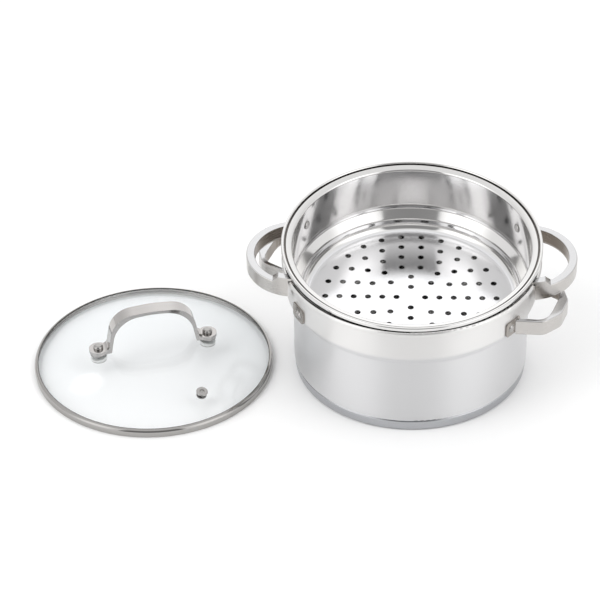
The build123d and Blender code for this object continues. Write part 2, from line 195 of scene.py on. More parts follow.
@dataclass(frozen=True)
class Marks:
    """Fine marks of polishing or handling, drawn out in the level round the piece.

    Attributes:
        width: Upright width of a drawn mark.
        length: Level length of a mark.
        spread: How far the roughness swings from mark to mark.
        depth: Depth of the marks, or 0 where they only change the sheen.
        strength: How strongly the depth shows.
        detail: Levels of finer noise.
        fine_share: Share of the finer noise.
    """

    width: float
    length: float
    spread: float
    depth: float = 0.0
    strength: float = 0.1
    detail: float = 3.0
    fine_share: float = 0.55

    def build(self, tree: NodeTree, place: Node | NodeSocket, roughness: float | Node) -> dict[str, Node]:
        """Add the marks' nodes to a tree.

        Args:
            tree: The node tree.
            place: The place on the piece.
            roughness: The mean roughness.

        Returns:
            What the marks feed into the shader.
        """
        along, across = 1 / (self.length * MM), 1 / (self.width * MM)
        lines = add_node(tree, "ShaderNodeVectorMath", {"operation": "MULTIPLY"},
                         {0: place, 1: (along, along, across)})
        noise = add_node(tree, "ShaderNodeTexNoise", inputs={
            "Vector": lines, "Scale": 1.0, "Detail": self.detail, "Roughness": self.fine_share})
        swing = add_node(tree, "ShaderNodeMapRange", inputs={
            "Value": noise, "From Min": NOISE_LOW, "From Max": NOISE_HIGH,
            "To Min": -self.spread, "To Max": self.spread})
        rough = add_node(tree, "ShaderNodeMath", {"operation": "ADD"}, {0: roughness, 1: swing})
        fed = {"Roughness": rough}
        if self.depth:
            bump = add_node(tree, "ShaderNodeBump", inputs={
                "Height": noise, "Strength": self.strength, "Distance": self.depth * MM})
            fed["Normal"] = bump
        return fed


@dataclass(frozen=True)
class SteelFinish:
    """Steel or aluminium of one colour with its marks.

    Attributes:
        name: The material's name.
        color: Base colour as sRGB hex.
        roughness: Mean roughness.
        marks: The marks of its working.
        anisotropy: How much the marks stretch highlights.
    """

    name: str
    color: str
    roughness: float
    marks: Marks
    anisotropy: float = 0.0

    def build(self) -> Material:
        """Make the node material.

        Returns:
            The finished material.
        """
        material = new_material(self.name)
        tree = material.node_tree
        place = add_node(tree, "ShaderNodeTexCoord").outputs["Object"]
        tangent = add_node(tree, "ShaderNodeTangent", {"direction_type": "RADIAL", "axis": "Z"})
        return coat(material, {
            "Base Color": linear_rgb(self.color), "Metallic": 1.0, "Anisotropic": self.anisotropy,
            "Tangent": tangent, **self.marks.build(tree, place, self.roughness)})


@dataclass(frozen=True)
class PotFinish:
    """Drawn steel, brushed round on a lathe outside and buffed to a mirror inside, with the band above the
    shoulder painted lighter as the light on its step.

    Attributes:
        name: The material's name.
        wall_color: Colour of the brushed wall as sRGB hex.
        painted_band_light_color: Lighter colour of the band above the shoulder, painted light that the step
            there catches.
        inside_color: Colour of the buffed inside.
        wall_roughness: Roughness of the brushed wall.
        inside_roughness: Roughness of the buffed inside.
        anisotropy: How much the brushing stretches highlights.
        brushing_turn: Turn of the stretched highlights, in full turns; a quarter sets them upright.
        band_height: Height at which the painted lighter band starts.
        band_blend: Height over which the two brushed finishes blend.
        side_blend: How softly outside and inside meet on a curved edge, as a cosine.
        marks: The brushing lines.
    """

    name: str
    wall_color: str = "#DBDBDC"
    # Painted light: the band above the shoulder is lighter where the step catches the light.
    painted_band_light_color: str = "#E6E5E4"
    inside_color: str = "#E6E5E4"
    wall_roughness: float = 0.4
    inside_roughness: float = 0.1
    anisotropy: float = 0.85
    brushing_turn: float = 0.25
    band_height: float = 92.0
    band_blend: float = 5.0
    side_blend: float = 0.2
    # The lines are 0.1 mm wide on the real thing and are drawn ten times as wide.
    marks: Marks = Marks(1.0, 150.0, 0.01, 0.0005, 0.05, fine_share=0.5)

    def build(self) -> Material:
        """Make the node material.

        Returns:
            The finished material.
        """
        material = new_material(self.name)
        tree = material.node_tree
        place = add_node(tree, "ShaderNodeTexCoord").outputs["Object"]
        normal = add_node(tree, "ShaderNodeNewGeometry").outputs["Normal"]
        height = add_node(tree, "ShaderNodeSeparateXYZ", inputs={0: place}).outputs["Z"]
        direction = add_node(tree, "ShaderNodeVectorMath", {"operation": "NORMALIZE"},
                             {0: level_way(tree, place)})
        outward = add_node(tree, "ShaderNodeVectorMath", {"operation": "SUBTRACT"},
                           {0: direction, 1: (0, 0, 1)})
        facing = add_node(tree, "ShaderNodeVectorMath", {"operation": "DOT_PRODUCT"},
                          {0: outward, 1: normal}).outputs["Value"]
        outside = add_node(tree, "ShaderNodeMapRange", inputs={
            "Value": facing, "From Min": -self.side_blend, "From Max": self.side_blend})
        band = add_node(tree, "ShaderNodeMapRange", inputs={
            "Value": height, "From Min": self.band_height * MM,
            "From Max": (self.band_height + self.band_blend) * MM})
        # Brushed wall below, painted light on the band above the shoulder.
        brushed = add_node(tree, "ShaderNodeMix", {"data_type": "RGBA"}, {
            "Factor": band, 6: linear_rgb(self.wall_color), 7: linear_rgb(self.painted_band_light_color)})
        color = add_node(tree, "ShaderNodeMix", {"data_type": "RGBA"}, {
            "Factor": outside, 6: linear_rgb(self.inside_color), 7: brushed.outputs[2]})
        rough = add_node(tree, "ShaderNodeMapRange", inputs={
            "Value": outside, "To Min": self.inside_roughness, "To Max": self.wall_roughness})
        tangent = add_node(tree, "ShaderNodeTangent", {"direction_type": "RADIAL", "axis": "Z"})
        return coat(material, {
            "Base Color": color.outputs[2], "Metallic": 1.0, "Anisotropic": self.anisotropy,
            "Anisotropic Rotation": self.brushing_turn, "Tangent": tangent,
            **self.marks.build(tree, place, rough)})


@dataclass(frozen=True)
class RimFinish:
    """Rolled and polished steel with a dark line of painted shade where it meets the glass.

    Attributes:
        name: The material's name.
        center: The middle of the rim.
        line_radius: Radius up to which the painted shade line shows.
        line_blend: Half the width over which the line fades.
        color: Colour of the steel as sRGB hex.
        shade_line_color: Colour of the painted shade line where the rim meets the glass.
        roughness: Roughness of the steel.
        marks: The stains of handling.
    """

    name: str
    center: tuple[float, float, float]
    line_radius: float = 117.8
    line_blend: float = 0.2
    color: str = "#AAA8A6"
    # Painted shade: a dark line on the rim where it meets the glass.
    shade_line_color: str = "#4B4947"
    roughness: float = 0.06
    marks: Marks = Marks(8.0, 8.0, 0.02, detail=2.0, fine_share=0.5)

    def build(self) -> Material:
        """Make the node material.

        Returns:
            The finished material.
        """
        material = new_material(self.name)
        tree = material.node_tree
        place = add_node(tree, "ShaderNodeTexCoord").outputs["Object"]
        radius = add_node(tree, "ShaderNodeVectorMath", {"operation": "LENGTH"},
                          {0: level_way(tree, place, self.center)})
        # Mask that keeps the painted shade line inside line_radius.
        steel = add_node(tree, "ShaderNodeMapRange", inputs={
            "Value": radius.outputs["Value"], "From Min": (self.line_radius - self.line_blend) * MM,
            "From Max": (self.line_radius + self.line_blend) * MM})
        color = add_node(tree, "ShaderNodeMix", {"data_type": "RGBA"}, {
            "Factor": steel, 6: linear_rgb(self.shade_line_color), 7: linear_rgb(self.color)})
        return coat(material, {
            "Base Color": color.outputs[2], "Metallic": 1.0, **self.marks.build(tree, place, self.roughness)})


@dataclass(frozen=True)
class SiliconeFinish:
    """Moulded silicone, milky and soft.

    Attributes:
        name: The material's name.
        color: Base colour as sRGB hex.
        shade: Colour where the moulding is cloudier.
        roughness: Roughness of the moulded skin.
        ior: Index of refraction of silicone.
        cloud_size: Size of a cloud in the moulding.
    """

    name: str
    color: str
    shade: str
    roughness: float = 0.45
    ior: float = 1.43
    cloud_size: float = 2.0

    def build(self) -> Material:
        """Make the node material.

        Returns:
            The finished material.
        """
        material = new_material(self.name)
        tree = material.node_tree
        place = add_node(tree, "ShaderNodeTexCoord").outputs["Object"]
        cloud = add_node(tree, "ShaderNodeTexNoise", inputs={
            "Vector": place, "Scale": 1 / (self.cloud_size * MM)})
        color = add_node(tree, "ShaderNodeMix", {"data_type": "RGBA"}, {
            "Factor": cloud, 6: linear_rgb(self.color), 7: linear_rgb(self.shade)})
        return coat(material, {"Base Color": color.outputs[2], "Roughness": self.roughness, "IOR": self.ior})


@dataclass(frozen=True)
class InsertFinish:
    """Polished drawn steel of the insert: a mirror wall, a whiter buffed floor and painted shade in the
    groove in the rim.

    Attributes:
        name: The material's name.
        rim_place: A point on the insert's axis at its rim.
        tilt_angle: How far the axis leans, in degrees.
        wall_color: Colour of the mirror wall as sRGB hex.
        floor_color: Colour of the buffed floor.
        groove_shade_color: Colour of the painted shade in the groove.
        wall_roughness: Roughness of the wall.
        floor_roughness: Roughness of the floor.
        groove_inner: Radius at which the groove starts.
        groove_outer: Radius at which the groove ends.
        groove_height: Height below which the groove is painted dark as shade, from the rim.
        floor_height: Height of the floor, from the rim.
        floor_blend: Height over which wall and floor blend.
        marks: The ripples of drawing.
    """

    name: str
    rim_place: tuple[float, float, float]
    tilt_angle: float
    wall_color: str = "#E0DFDE"
    floor_color: str = "#ECECEE"
    # Painted shade: the groove in the rim is darkened where shade falls in it.
    groove_shade_color: str = "#6E6A67"
    wall_roughness: float = 0.1
    floor_roughness: float = 0.16
    groove_inner: float = 124.7
    groove_outer: float = 126.7
    groove_height: float = -1.4
    floor_height: float = -73.6
    floor_blend: float = 1.5
    marks: Marks = Marks(14.0, 14.0, 0.03, 0.05, 0.2, fine_share=0.6)

    def build(self) -> Material:
        """Make the node material.

        Returns:
            The finished material.
        """
        material = new_material(self.name)
        tree = material.node_tree
        own = add_node(tree, "ShaderNodeMapping", {"vector_type": "TEXTURE"}, {
            "Vector": add_node(tree, "ShaderNodeTexCoord").outputs["Object"],
            "Location": Vector(self.rim_place) * MM,
            "Rotation": (math.radians(self.tilt_angle), 0, 0)})
        height = add_node(tree, "ShaderNodeSeparateXYZ", inputs={0: own}).outputs["Z"]
        radius = add_node(tree, "ShaderNodeVectorMath", {"operation": "LENGTH"},
                          {0: level_way(tree, own)}).outputs["Value"]
        # Mask of the painted shade in the groove.
        groove: float | Node = 1.0
        for value, operation, limit in ((radius, "GREATER_THAN", self.groove_inner),
                                        (radius, "LESS_THAN", self.groove_outer),
                                        (height, "LESS_THAN", self.groove_height)):
            test = add_node(tree, "ShaderNodeMath", {"operation": operation}, {0: value, 1: limit * MM})
            groove = add_node(tree, "ShaderNodeMath", {"operation": "MULTIPLY"}, {0: groove, 1: test})
        floor = add_node(tree, "ShaderNodeMapRange", inputs={
            "Value": height, "From Min": (self.floor_height + self.floor_blend) * MM,
            "From Max": self.floor_height * MM})
        steel = add_node(tree, "ShaderNodeMix", {"data_type": "RGBA"}, {
            "Factor": floor, 6: linear_rgb(self.wall_color), 7: linear_rgb(self.floor_color)})
        # The painted shade darkens the steel in the groove.
        color = add_node(tree, "ShaderNodeMix", {"data_type": "RGBA"}, {
            "Factor": groove, 6: steel.outputs[2], 7: linear_rgb(self.groove_shade_color)})
        rough = add_node(tree, "ShaderNodeMapRange", inputs={
            "Value": floor, "To Min": self.wall_roughness, "To Max": self.floor_roughness})
        return coat(material, {
            "Base Color": color.outputs[2], "Metallic": 1.0, **self.marks.build(tree, own, rough)})


@dataclass(frozen=True)
class LoopFinish:
    """Cast steel loop: tumbled to a soft grey sheen outside, buffed and painted lighter on top as a
    highlight, painted darker and browner inside as shade and reflection.

    Attributes:
        name: The material's name.
        center: A point inside the opening.
        side_color: Colour of the outer faces as sRGB hex.
        painted_top_highlight_color: Colour of the top, painted lighter as a highlight.
        painted_inner_shade_color: Colour of the faces towards the opening, painted darker and browner as
            shade and reflection.
        side_roughness: Roughness of the outer and inner faces.
        top_roughness: Roughness of the top.
        inner_start: Cosine to the way out of the opening at which a face starts to take the painted shade.
        inner_full: The same cosine where it takes the painted shade fully.
        top_start: Upward part of the normal at which a face starts to look buffed and take the painted
            highlight.
        top_full: The same where it looks fully buffed and takes the painted highlight fully.
        marks: The tumbling lines.
    """

    name: str
    center: tuple[float, float, float]
    side_color: str = "#C2BFBC"
    # Painted highlight on the top, and painted shade and reflection on the faces towards the opening.
    painted_top_highlight_color: str = "#CDCDCE"
    painted_inner_shade_color: str = "#8C837A"
    side_roughness: float = 0.28
    top_roughness: float = 0.16
    inner_start: float = -0.25
    inner_full: float = -0.55
    top_start: float = 0.6
    top_full: float = 0.85
    # The lines are 0.1 mm wide on the real thing and are drawn ten times as wide.
    marks: Marks = Marks(1.0, 30.0, 0.01, 0.001, fine_share=0.5)

    def build(self) -> Material:
        """Make the node material.

        Returns:
            The finished material.
        """
        material = new_material(self.name)
        tree = material.node_tree
        place = add_node(tree, "ShaderNodeTexCoord").outputs["Object"]
        normal = add_node(tree, "ShaderNodeNewGeometry").outputs["Normal"]
        direction = add_node(tree, "ShaderNodeVectorMath", {"operation": "NORMALIZE"},
                             {0: level_way(tree, place, self.center)})
        facing = add_node(tree, "ShaderNodeVectorMath", {"operation": "DOT_PRODUCT"},
                          {0: direction, 1: normal}).outputs["Value"]
        inner = add_node(tree, "ShaderNodeMapRange", inputs={
            "Value": facing, "From Min": self.inner_start, "From Max": self.inner_full})
        height = add_node(tree, "ShaderNodeSeparateXYZ", inputs={0: normal}).outputs["Z"]
        top = add_node(tree, "ShaderNodeMapRange", inputs={
            "Value": height, "From Min": self.top_start, "From Max": self.top_full})
        # Painted shade and reflection on the faces towards the opening.
        base = add_node(tree, "ShaderNodeMix", {"data_type": "RGBA"}, {
            "Factor": inner, 6: linear_rgb(self.side_color), 7: linear_rgb(self.painted_inner_shade_color)})
        # Painted highlight on the top.
        color = add_node(tree, "ShaderNodeMix", {"data_type": "RGBA"}, {
            "Factor": top, 6: base.outputs[2], 7: linear_rgb(self.painted_top_highlight_color)})
        rough = add_node(tree, "ShaderNodeMapRange", inputs={
            "Value": top, "To Min": self.side_roughness, "To Max": self.top_roughness})
        return coat(material, {
            "Base Color": color.outputs[2], "Metallic": 1.0, **self.marks.build(tree, place, rough)})


@dataclass(frozen=True)
class GlassFinish:
    """Tempered clear glass: almost unseen face on, greyer and more glossy at a flat angle.

    Attributes:
        name: The material's name.
        tint: Colour of what is seen through it, as sRGB hex.
        edge_tint: Colour at a flat angle.
        gloss_color: Colour of its reflections.
        roughness: Roughness of its skin.
        face_share: Share of light that it mirrors face on.
        falloff: Power at which that share grows towards a flat angle.
    """

    name: str
    tint: str
    edge_tint: str
    gloss_color: str = "#FFFFFF"
    roughness: float = 0.1
    face_share: float = 0.04
    falloff: float = 5.0

    def build(self) -> Material:
        """Make the node material.

        Returns:
            The finished material.
        """
        material = new_material(self.name)
        tree = material.node_tree
        facing = add_node(tree, "ShaderNodeLayerWeight", inputs={"Blend": 0.5}).outputs["Facing"]
        tint = add_node(tree, "ShaderNodeMix", {"data_type": "RGBA"}, {
            "Factor": facing, 6: linear_rgb(self.tint), 7: linear_rgb(self.edge_tint)})
        through = add_node(tree, "ShaderNodeBsdfTransparent", inputs={"Color": tint.outputs[2]})
        gloss = add_node(tree, "ShaderNodeBsdfPrincipled", inputs={
            "Base Color": linear_rgb(self.gloss_color), "Metallic": 1.0, "Roughness": self.roughness})
        grazing = add_node(tree, "ShaderNodeMath", {"operation": "POWER"}, {0: facing, 1: self.falloff})
        share = add_node(tree, "ShaderNodeMapRange", inputs={"Value": grazing, "To Min": self.face_share})
        mixed = add_node(tree, "ShaderNodeMixShader", inputs={0: share, 1: through, 2: gloss})
        add_node(tree, "ShaderNodeOutputMaterial", inputs={"Surface": mixed})
        return material


# The marks of small pieces are about 0.1 mm wide on the real thing and are drawn up to ten times as wide.
# The pot: each light is drawn out into an upright band, and the inside is a mirror.
BRUSHED_STEEL = PotFinish("lathe_brushed_steel")
# Pressed plates of the loops: darker, with mirror-like bends.
PLATE_STEEL = SteelFinish("pressed_plate_steel", "#A09B96", 0.15, Marks(1.0, 20.0, 0.03, 0.002))
# Steel cap of the base: satin and a little blue.
CAP_STEEL = SteelFinish("satin_cap_steel", "#B4B5B8", 0.24, Marks(1.0, 120.0, 0.02, 0.003), 0.4)
# Cast aluminium of the heat core, painted dark as the shade in the groove where it shows under the pot.
SHADED_CORE_ALUMINIUM = SteelFinish("cast_aluminium_painted_shade", "#5C5B5A", 0.5, Marks(0.8, 0.8, 0.06, 0.02))
# Turned and tumbled fasteners: small dark mirrors.
FASTENER_STEEL = SteelFinish("tumbled_fastener_steel", "#A8A6A4", 0.09, Marks(0.8, 6.0, 0.03, 0.004))
# Silicone cushions under the lid's handle: milky and hardly seen through the glass.
CUSHION_SILICONE = SiliconeFinish("moulded_clear_silicone", "#F1F1EF", "#E3E4E2")
# Eyelet of the vent: flared tube, a small bright ring.
VENT_STEEL = SteelFinish("flared_vent_steel", "#B0AEAC", 0.09, FASTENER_STEEL.marks)
# Strap of the lid's handle, finely brushed: soft reflections that darken in the bends.
STRAP_STEEL = SteelFinish("brushed_strap_steel", "#BAB7B5", 0.09, Marks(1.0, 80.0, 0.02, 0.001))
# Tempered soda-lime glass: clear, with a thin veil of soft reflections.
CLEAR_GLASS = GlassFinish("clear_tempered_glass", "#FFFFFF", "#F6F8F9")


@dataclass(frozen=True)
class Corner:
    """A corner of a turned profile: distance from the axis, height, and how far it is rounded."""

    radius: float
    height: float
    rounding: float = 0.0


def side_of(corners: list[Corner], wall: float) -> list[Corner]:
    """Offset an open profile by the wall to the left of the way it runs.

    Args:
        corners: The profile, in order.
        wall: The distance.

    Returns:
        The profile's other side, in the same order.
    """
    moved = []
    for index, corner in enumerate(corners):
        here = Vector((corner.radius, corner.height))
        before = corners[index - 1] if index else None
        after = corners[index + 1] if index + 1 < len(corners) else None
        leave = (Vector((after.radius, after.height)) - here).normalized() if after else None
        arrive = (here - Vector((before.radius, before.height))).normalized() if before else leave
        leave = leave or arrive
        turn = arrive.x * leave.y - arrive.y * leave.x
        bisector = (arrive + leave).normalized()
        normal = Vector((-bisector.y, bisector.x))
        place = here + normal * wall / bisector.dot(leave)
        rounding = max(corner.rounding - math.copysign(wall, turn), 0.0) if corner.rounding else 0.0
        moved.append(Corner(place.x, place.y, rounding))
    return moved


def rounded_wire(work: BMesh, corners: list[Corner], segments: int) -> list:
    """Draw a closed profile in the XZ plane and round its corners.

    Args:
        work: The mesh being built.
        corners: The closed profile, in order.
        segments: Steps in each rounded corner.

    Returns:
        The profile's vertices and edges.
    """
    points = [Vector((c.radius, 0, c.height)) * MM for c in corners]
    verts = [work.verts.new(point) for point in points]
    for index, vert in enumerate(verts):
        work.edges.new((verts[index - 1], vert))
    for index, corner in enumerate(corners):
        if corner.rounding <= 0:
            continue
        arrive = (points[index] - points[index - 1]).normalized()
        leave = (points[(index + 1) % len(points)] - points[index]).normalized()
        reach = corner.rounding * MM * math.tan(arrive.angle(leave) / 2)
        bmesh.ops.bevel(work, geom=[verts[index]], offset=reach, offset_type="OFFSET", affect="VERTICES",
                        segments=segments, profile=0.5, material=-1)
    return list(work.verts) + list(work.edges)


def turned(corners: list[Corner], steps: int = TURN_STEPS,
           segments: int = CORNER_STEPS) -> BMesh:
    """Turn a closed profile about Z into a solid.

    Args:
        corners: The closed profile, in order.
        steps: Steps round the axis.
        segments: Steps in each rounded corner.

    Returns:
        The solid, in metres.
    """
    work = bmesh.new()
    wire = rounded_wire(work, corners, segments)
    bmesh.ops.spin(work, geom=wire, cent=(0, 0, 0), axis=(0, 0, 1), angle=math.tau, steps=steps,
                   use_merge=True, use_normal_flip=False, use_duplicate=False)
    bmesh.ops.remove_doubles(work, verts=work.verts, dist=MERGE_DISTANCE * MM)
    bmesh.ops.dissolve_degenerate(work, edges=work.edges, dist=SLIVER_LENGTH * MM)
    bmesh.ops.recalc_face_normals(work, faces=work.faces)
    return work


def finished(name: str, work: BMesh, material: Material, body: Body,
             nodes: Iterable[str] = ()) -> None:
    """Turn a built mesh into a piece that rides on a body.

    Args:
        name: The piece's name.
        work: The built mesh, at its place.
        material: Its material.
        body: The body that it moves with.
        nodes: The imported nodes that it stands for.
    """
    mesh = bpy.data.meshes.new(name)
    work.to_mesh(mesh)
    work.free()
    mesh.materials.append(material)
    piece = bpy.data.objects.new(name, mesh)
    bpy.context.scene.collection.objects.link(piece)
    mesh.shade_smooth()
    mesh.set_sharp_from_angle(angle=SMOOTH_ANGLE)
    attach(piece, body.value)
    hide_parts(*nodes)
    log.info("%s: %d faces", name, len(mesh.polygons))


def difference(stock: BMesh, cutter: BMesh) -> BMesh:
    """Cut one closed mesh out of another; both are used up.

    Args:
        stock: The mesh to keep.
        cutter: The mesh to take away.

    Returns:
        What is left of the stock.
    """
    meshes = [bpy.data.meshes.new("stock"), bpy.data.meshes.new("cutter")]
    for mesh, work in zip(meshes, (stock, cutter)):
        work.to_mesh(mesh)
        work.free()
    kept, taken = (bpy.data.objects.new(mesh.name, mesh) for mesh in meshes)
    for item in (kept, taken):
        bpy.context.scene.collection.objects.link(item)
    cut = kept.modifiers.new("cut", "BOOLEAN")
    cut.operation = "DIFFERENCE"
    cut.solver = "EXACT"
    cut.object = taken
    result = bmesh.new()
    result.from_object(kept, bpy.context.evaluated_depsgraph_get())
    for item in (kept, taken):
        bpy.data.objects.remove(item)
    for mesh in meshes:
        bpy.data.meshes.remove(mesh)
    return result


def dress(frame: dict, node: str, material: Material) -> None:
    """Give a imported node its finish.

    Args:
        frame: The loaded frame.
        node: The node's name.
        material: Its material.
    """
    mesh = frame["nodes"][node].data
    mesh.materials.clear()
    mesh.materials.append(material)
    log.info("%s: %s", node, material.name)


@dataclass
class Pot:
    """The drawn pot with its base, loops, plates and rivets.

    Attributes:
        cap_radius: Outer radius of the base's steel cap.
        cap_wall: Thickness of the cap.
        cap_height: Height of the cap.
        cap_rounding: Rounding at the cap's foot.
        cap_bevel: Height of the bright bevel at the cap's upper edge.
        cap_edge_rounding: Rounding where the bevel starts.
        loop_center_x: Distance of a loop's opening from the pot's axis along X.
        loop_center_y: Distance of a loop's opening from the pot's axis along Y.
        loop_center_z: Height of a loop's opening.
    """

    cap_radius: float = 116.8
    cap_wall: float = 0.8
    cap_height: float = 11.6
    cap_rounding: float = 3.0
    cap_bevel: float = 1.3
    cap_edge_rounding: float = 0.3
    loop_center_x: float = 133.0
    loop_center_y: float = 48.0
    loop_center_z: float = 98.0

    def cap(self) -> BMesh:
        """Turn the base's cap, bevelled where it was trimmed.

        Returns:
            The cap, in metres.
        """
        edge = self.cap_radius - self.cap_bevel / 2
        outer = [
            Corner(0, 0),
            Corner(self.cap_radius, 0, self.cap_rounding),
            Corner(self.cap_radius, self.cap_height - self.cap_bevel, self.cap_edge_rounding),
            Corner(edge, self.cap_height),
        ]
        inner = [
            Corner(edge - self.cap_wall, self.cap_height),
            Corner(edge - self.cap_wall, self.cap_wall, self.cap_rounding - self.cap_wall),
            Corner(0, self.cap_wall),
        ]
        return turned(outer + inner)

    def build(self, frame: dict) -> None:
        """Turn the cap and dress the pot's nodes.

        Args:
            frame: The loaded frame.
        """
        dress(frame, "pot_body", BRUSHED_STEEL.build())
        # The core's dark colour is painted shade in the groove under the pot.
        dress(frame, "base_core", SHADED_CORE_ALUMINIUM.build())
        finished("base_cap_bevelled", self.cap(), CAP_STEEL.build(), Body.POT, ["base_cap"])
        plate, rivet = PLATE_STEEL.build(), FASTENER_STEEL.build()
        for side, sign in ((Side.LEFT, -1), (Side.RIGHT, 1)):
            center = (sign * self.loop_center_x, -sign * self.loop_center_y, self.loop_center_z)
            loop = LoopFinish(f"pot_loop_steel_{side.value}", center).build()
            dress(frame, f"pot_handle_{side.value}", loop)
            dress(frame, f"pot_plates_{side.value}", plate)
            dress(frame, f"pot_rivets_{side.value}", rivet)
        dress(frame, "pot_front_plate", plate)
        dress(frame, "pot_front_rivet", rivet)


@dataclass
class Insert:
    """The perforated steamer insert with its loops, plates and rivets.

    Attributes:
        loop_center_x: Distance of a loop's opening from the pot's axis.
        loop_center_z: Height of a loop's opening above the ground.
        turn_angle: How far the insert is turned in the pot, in degrees.
        tilt_angle: How far it leans, in degrees.
        rim_place: The middle of its rim.
        wall: Thickness of the steel.
        wall_radius: Outer radius of the wall.
        rim_radius: Outer radius of the rim.
        rim_depth: Height of the rolled rim.
        rim_width: Width of the rolled rim.
        rim_rounding: Rounding of the rolled rim.
        groove_depth: Depth of the groove inside the rim.
        groove_width: Width of the groove.
        seat_high_depth: Depth of the lid seat at its outer edge.
        seat_low_depth: Depth of the lid seat at its inner edge.
        seat_rounding: Rounding from the seat into the wall.
        fine_rounding: Rounding of the groove and the rib.
        rib_depth: Depth of the rib in the wall.
        rib_half_height: Half the rib's height.
        rib_bulge: How far the rib stands in.
        ledge_top_depth: Depth at which the wall starts to narrow.
        ledge_bottom_depth: Depth at which the narrower basket starts.
        ledge_rounding: Rounding of the ledge.
        basket_radius: Outer radius of the basket.
        basket_rounding: Rounding from the basket into the floor.
        depth: Depth of the whole insert.
        disc_radius: Radius of the flat floor plate.
        hole_radius: Radius of a steam hole.
        punch_depth: Height of a punch, in thicknesses of the steel.
        ring_pitch_across: Distance between hole rings from left to right.
        ring_pitch_deep: Distance between hole rings from front to back.
        pattern_back_shift: How far the pattern lies behind the middle.
        ring_count: Number of rings.
        first_split_ring: The first ring with one more hole in its back half.
    """

    loop_center_x: float = 117.0
    loop_center_z: float = 120.0
    turn_angle: float = -1.3
    tilt_angle: float = 4.9
    rim_place: tuple[float, float, float] = (0.0, 1.0, 144.8)
    wall: float = 0.8
    wall_radius: float = 119.3
    rim_radius: float = 129.7
    rim_depth: float = 4.6
    rim_width: float = 3.2
    rim_rounding: float = 1.4
    groove_depth: float = 3.2
    groove_width: float = 1.6
    seat_high_depth: float = 1.8
    seat_low_depth: float = 3.6
    seat_rounding: float = 2.4
    fine_rounding: float = 0.4
    rib_depth: float = 48.5
    rib_half_height: float = 1.0
    rib_bulge: float = 0.5
    ledge_top_depth: float = 54.0
    ledge_bottom_depth: float = 62.0
    ledge_rounding: float = 3.0
    basket_radius: float = 111.5
    basket_rounding: float = 10.0
    depth: float = 75.0
    disc_radius: float = 101.0
    hole_radius: float = 3.1
    punch_depth: float = 4.0
    ring_pitch_across: float = 14.4
    ring_pitch_deep: float = 15.8
    pattern_back_shift: float = 1.5
    ring_count: int = 6
    first_split_ring: int = 3

    def place(self) -> Matrix:
        """Work out how the insert stands in the pot.

        Returns:
            Its place, in metres.
        """
        tilt = Matrix.Rotation(math.radians(self.tilt_angle), 4, "X")
        turn = Matrix.Rotation(math.radians(self.turn_angle), 4, "Z")
        return Matrix.Translation(Vector(self.rim_place) * MM) @ tilt @ turn

    def shell(self) -> BMesh:
        """Turn the wall with its rim, groove, lid seat, rib and ledge, down to the edge of the floor.

        Returns:
            The shell, in its place in metres.
        """
        outer = [
            Corner(self.disc_radius, -self.depth),
            Corner(self.basket_radius, -self.depth, self.basket_rounding),
            Corner(self.basket_radius, -self.ledge_bottom_depth, self.ledge_rounding),
            Corner(self.wall_radius, -self.ledge_top_depth, self.ledge_rounding),
            Corner(self.wall_radius, -self.rib_depth - self.rib_half_height, self.fine_rounding),
            Corner(self.wall_radius - self.rib_bulge, -self.rib_depth, self.fine_rounding),
            Corner(self.wall_radius, -self.rib_depth + self.rib_half_height, self.fine_rounding),
            Corner(self.wall_radius, -self.seat_low_depth - self.wall, self.seat_rounding),
        ]
        inner = side_of(outer[:-1], self.wall)
        groove_outer = self.rim_radius - self.rim_width
        seat_outer = groove_outer - self.groove_width
        rim = [
            Corner(seat_outer, -self.rim_depth),
            Corner(self.rim_radius, -self.rim_depth, self.rim_rounding),
            Corner(self.rim_radius, 0, self.rim_rounding),
            Corner(groove_outer, 0, self.rim_rounding),
            Corner(groove_outer, -self.groove_depth, self.fine_rounding),
            Corner(seat_outer, -self.groove_depth, self.fine_rounding),
            Corner(seat_outer, -self.seat_high_depth, self.fine_rounding),
            Corner(self.wall_radius - self.wall, -self.seat_low_depth, self.seat_rounding),
        ]
        work = turned(outer + rim + inner[::-1], FINE_TURN_STEPS, FINE_CORNER_STEPS)
        bmesh.ops.transform(work, matrix=self.place(), verts=work.verts)
        return work

    def hole_places(self) -> list[tuple[float, float]]:
        """Lay out the steam holes, the outer rings with one more in their back half.

        Returns:
            Each hole's place from left to right and from front to back.
        """
        places = []
        for ring in range(1, self.ring_count + 1):
            front_gaps = 2 * ring
            back_gaps = front_gaps + 1 if ring >= self.first_split_ring else front_gaps
            angles = [math.pi * index / back_gaps for index in range(back_gaps + 1)]
            angles += [-math.pi * index / front_gaps for index in range(1, front_gaps)]
            for angle in angles:
                across = ring * self.ring_pitch_across * math.cos(angle)
                deep = ring * self.ring_pitch_deep * math.sin(angle) + self.pattern_back_shift
                places.append((across, deep))
        return places

    def floor(self) -> BMesh:
        """Cut the steam holes through a round plate.

        Returns:
            The floor, in its place in metres.
        """
        plate = bmesh.new()
        plate_radius, hole_radius = self.disc_radius * MM, self.hole_radius * MM
        bmesh.ops.create_cone(plate, cap_ends=True, segments=TURN_STEPS, radius1=plate_radius,
                              radius2=plate_radius, depth=self.wall * MM)
        bmesh.ops.translate(plate, vec=(0, 0, (self.wall / 2 - self.depth) * MM), verts=plate.verts)
        punches = bmesh.new()
        for across, deep in self.hole_places():
            made = bmesh.ops.create_cone(punches, cap_ends=True, segments=HOLE_STEPS, radius1=hole_radius,
                                         radius2=hole_radius, depth=self.punch_depth * self.wall * MM)
            bmesh.ops.translate(punches, vec=Vector((across, deep, -self.depth)) * MM, verts=made["verts"])
        work = difference(plate, punches)
        bmesh.ops.transform(work, matrix=self.place(), verts=work.verts)
        return work

